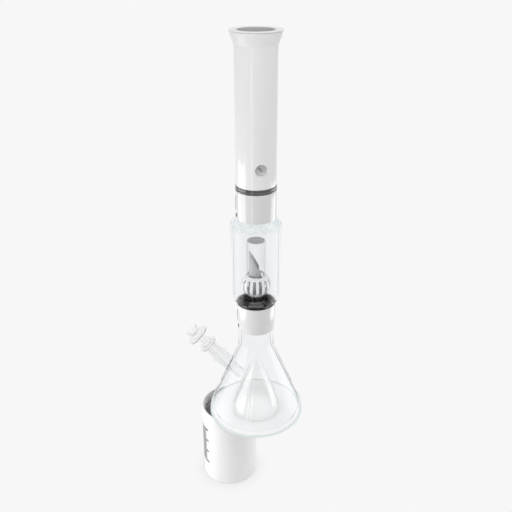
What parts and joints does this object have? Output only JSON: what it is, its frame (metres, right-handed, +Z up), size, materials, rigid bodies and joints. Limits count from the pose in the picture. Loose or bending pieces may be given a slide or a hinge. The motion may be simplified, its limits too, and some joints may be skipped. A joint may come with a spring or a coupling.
{
  "type": "modular glass water pipe",
  "caption": "Tall glass water pipe in screw-together sections: conical flask with side stem and bowl, percolator chamber and flared opal mouth tube, on a white cup.",
  "frame": {"origin": "centre of the cup's flat underside", "axes": "+Z up along the pipe, -X towards the side stem and bowl, -Y towards the viewer; +Z is the longest extent"},
  "size_m": [0.16, 0.1312, 0.64],
  "materials": {
    "white_coat": "gloss white coat on steel",
    "clear_glass": "clear, polished",
    "opal_glass": "white opal, glossy",
    "white_plastic": "glossy white",
    "black_plastic": "glossy black",
    "clear_plastic": "clear",
    "clear_rubber": "clear silicone",
    "black_rubber": "satin black",
    "steel_mesh": "fine mesh"
  },
  "bodies": {
    "stand": {"stand_cup": "white_coat"},
    "flask_body": {"flask": "clear_glass", "inner_cone": "clear_glass", "lower_collar": "white_plastic", "lower_thread_insert": "black_plastic"},
    "lower_seal": {"lower_gasket": "clear_rubber"},
    "chamber_body": {"chamber_thread_ring": "clear_plastic", "chamber": "clear_glass", "percolator_riser": "clear_glass", "percolator_lantern": "clear_glass", "percolator_cap": "clear_glass", "upper_collar": "white_plastic", "upper_thread_insert": "black_plastic"},
    "upper_seal": {"upper_gasket": "black_rubber"},
    "mouthpiece_body": {"mouthpiece_thread_ring": "black_plastic", "mouthpiece_tube": "opal_glass", "mouth_flare": "opal_glass"},
    "downstem_body": {"downstem": "clear_glass"},
    "bowl_body": {"bowl": "clear_glass", "bowl_screen": "steel_mesh"}
  },
  "joints": [
    {"name": "flask_lift", "type": "slide", "parent": "stand", "child": "flask_body", "axis": [0, 0, 1], "range_m": [0, 0.06]},
    {"name": "chamber_rise", "type": "slide", "parent": "flask_body", "child": "lower_seal", "axis": [0, 0, 1], "range_m": [0, 0.0085]},
    {"name": "chamber_turn", "type": "hinge", "parent": "lower_seal", "child": "chamber_body", "pos_m": [0.0388, -0.013, 0.3], "axis": [0, 0, 1], "range_deg": [0, 765.1]},
    {"name": "mouthpiece_rise", "type": "slide", "parent": "chamber_body", "child": "upper_seal", "axis": [0, 0, 1], "range_m": [0, 0.0085]},
    {"name": "mouthpiece_turn", "type": "hinge", "parent": "upper_seal", "child": "mouthpiece_body", "pos_m": [0.0388, -0.013, 0.46], "axis": [0, 0, 1], "range_deg": [0, 765.1]},
    {"name": "downstem_slide", "type": "slide", "parent": "flask_body", "child": "downstem_body", "axis": [-0.6786, 0, 0.7345], "range_m": [0, 0.06]},
    {"name": "bowl_slide", "type": "slide", "parent": "downstem_body", "child": "bowl_body", "axis": [-0.6786, 0, 0.7345], "range_m": [0, 0.025]}
  ],
  "couplings": [
    {"joint": "chamber_turn", "follows": "chamber_rise", "rad_per_m": 1570.8},
    {"joint": "mouthpiece_turn", "follows": "mouthpiece_rise", "rad_per_m": 1570.8}
  ]
}
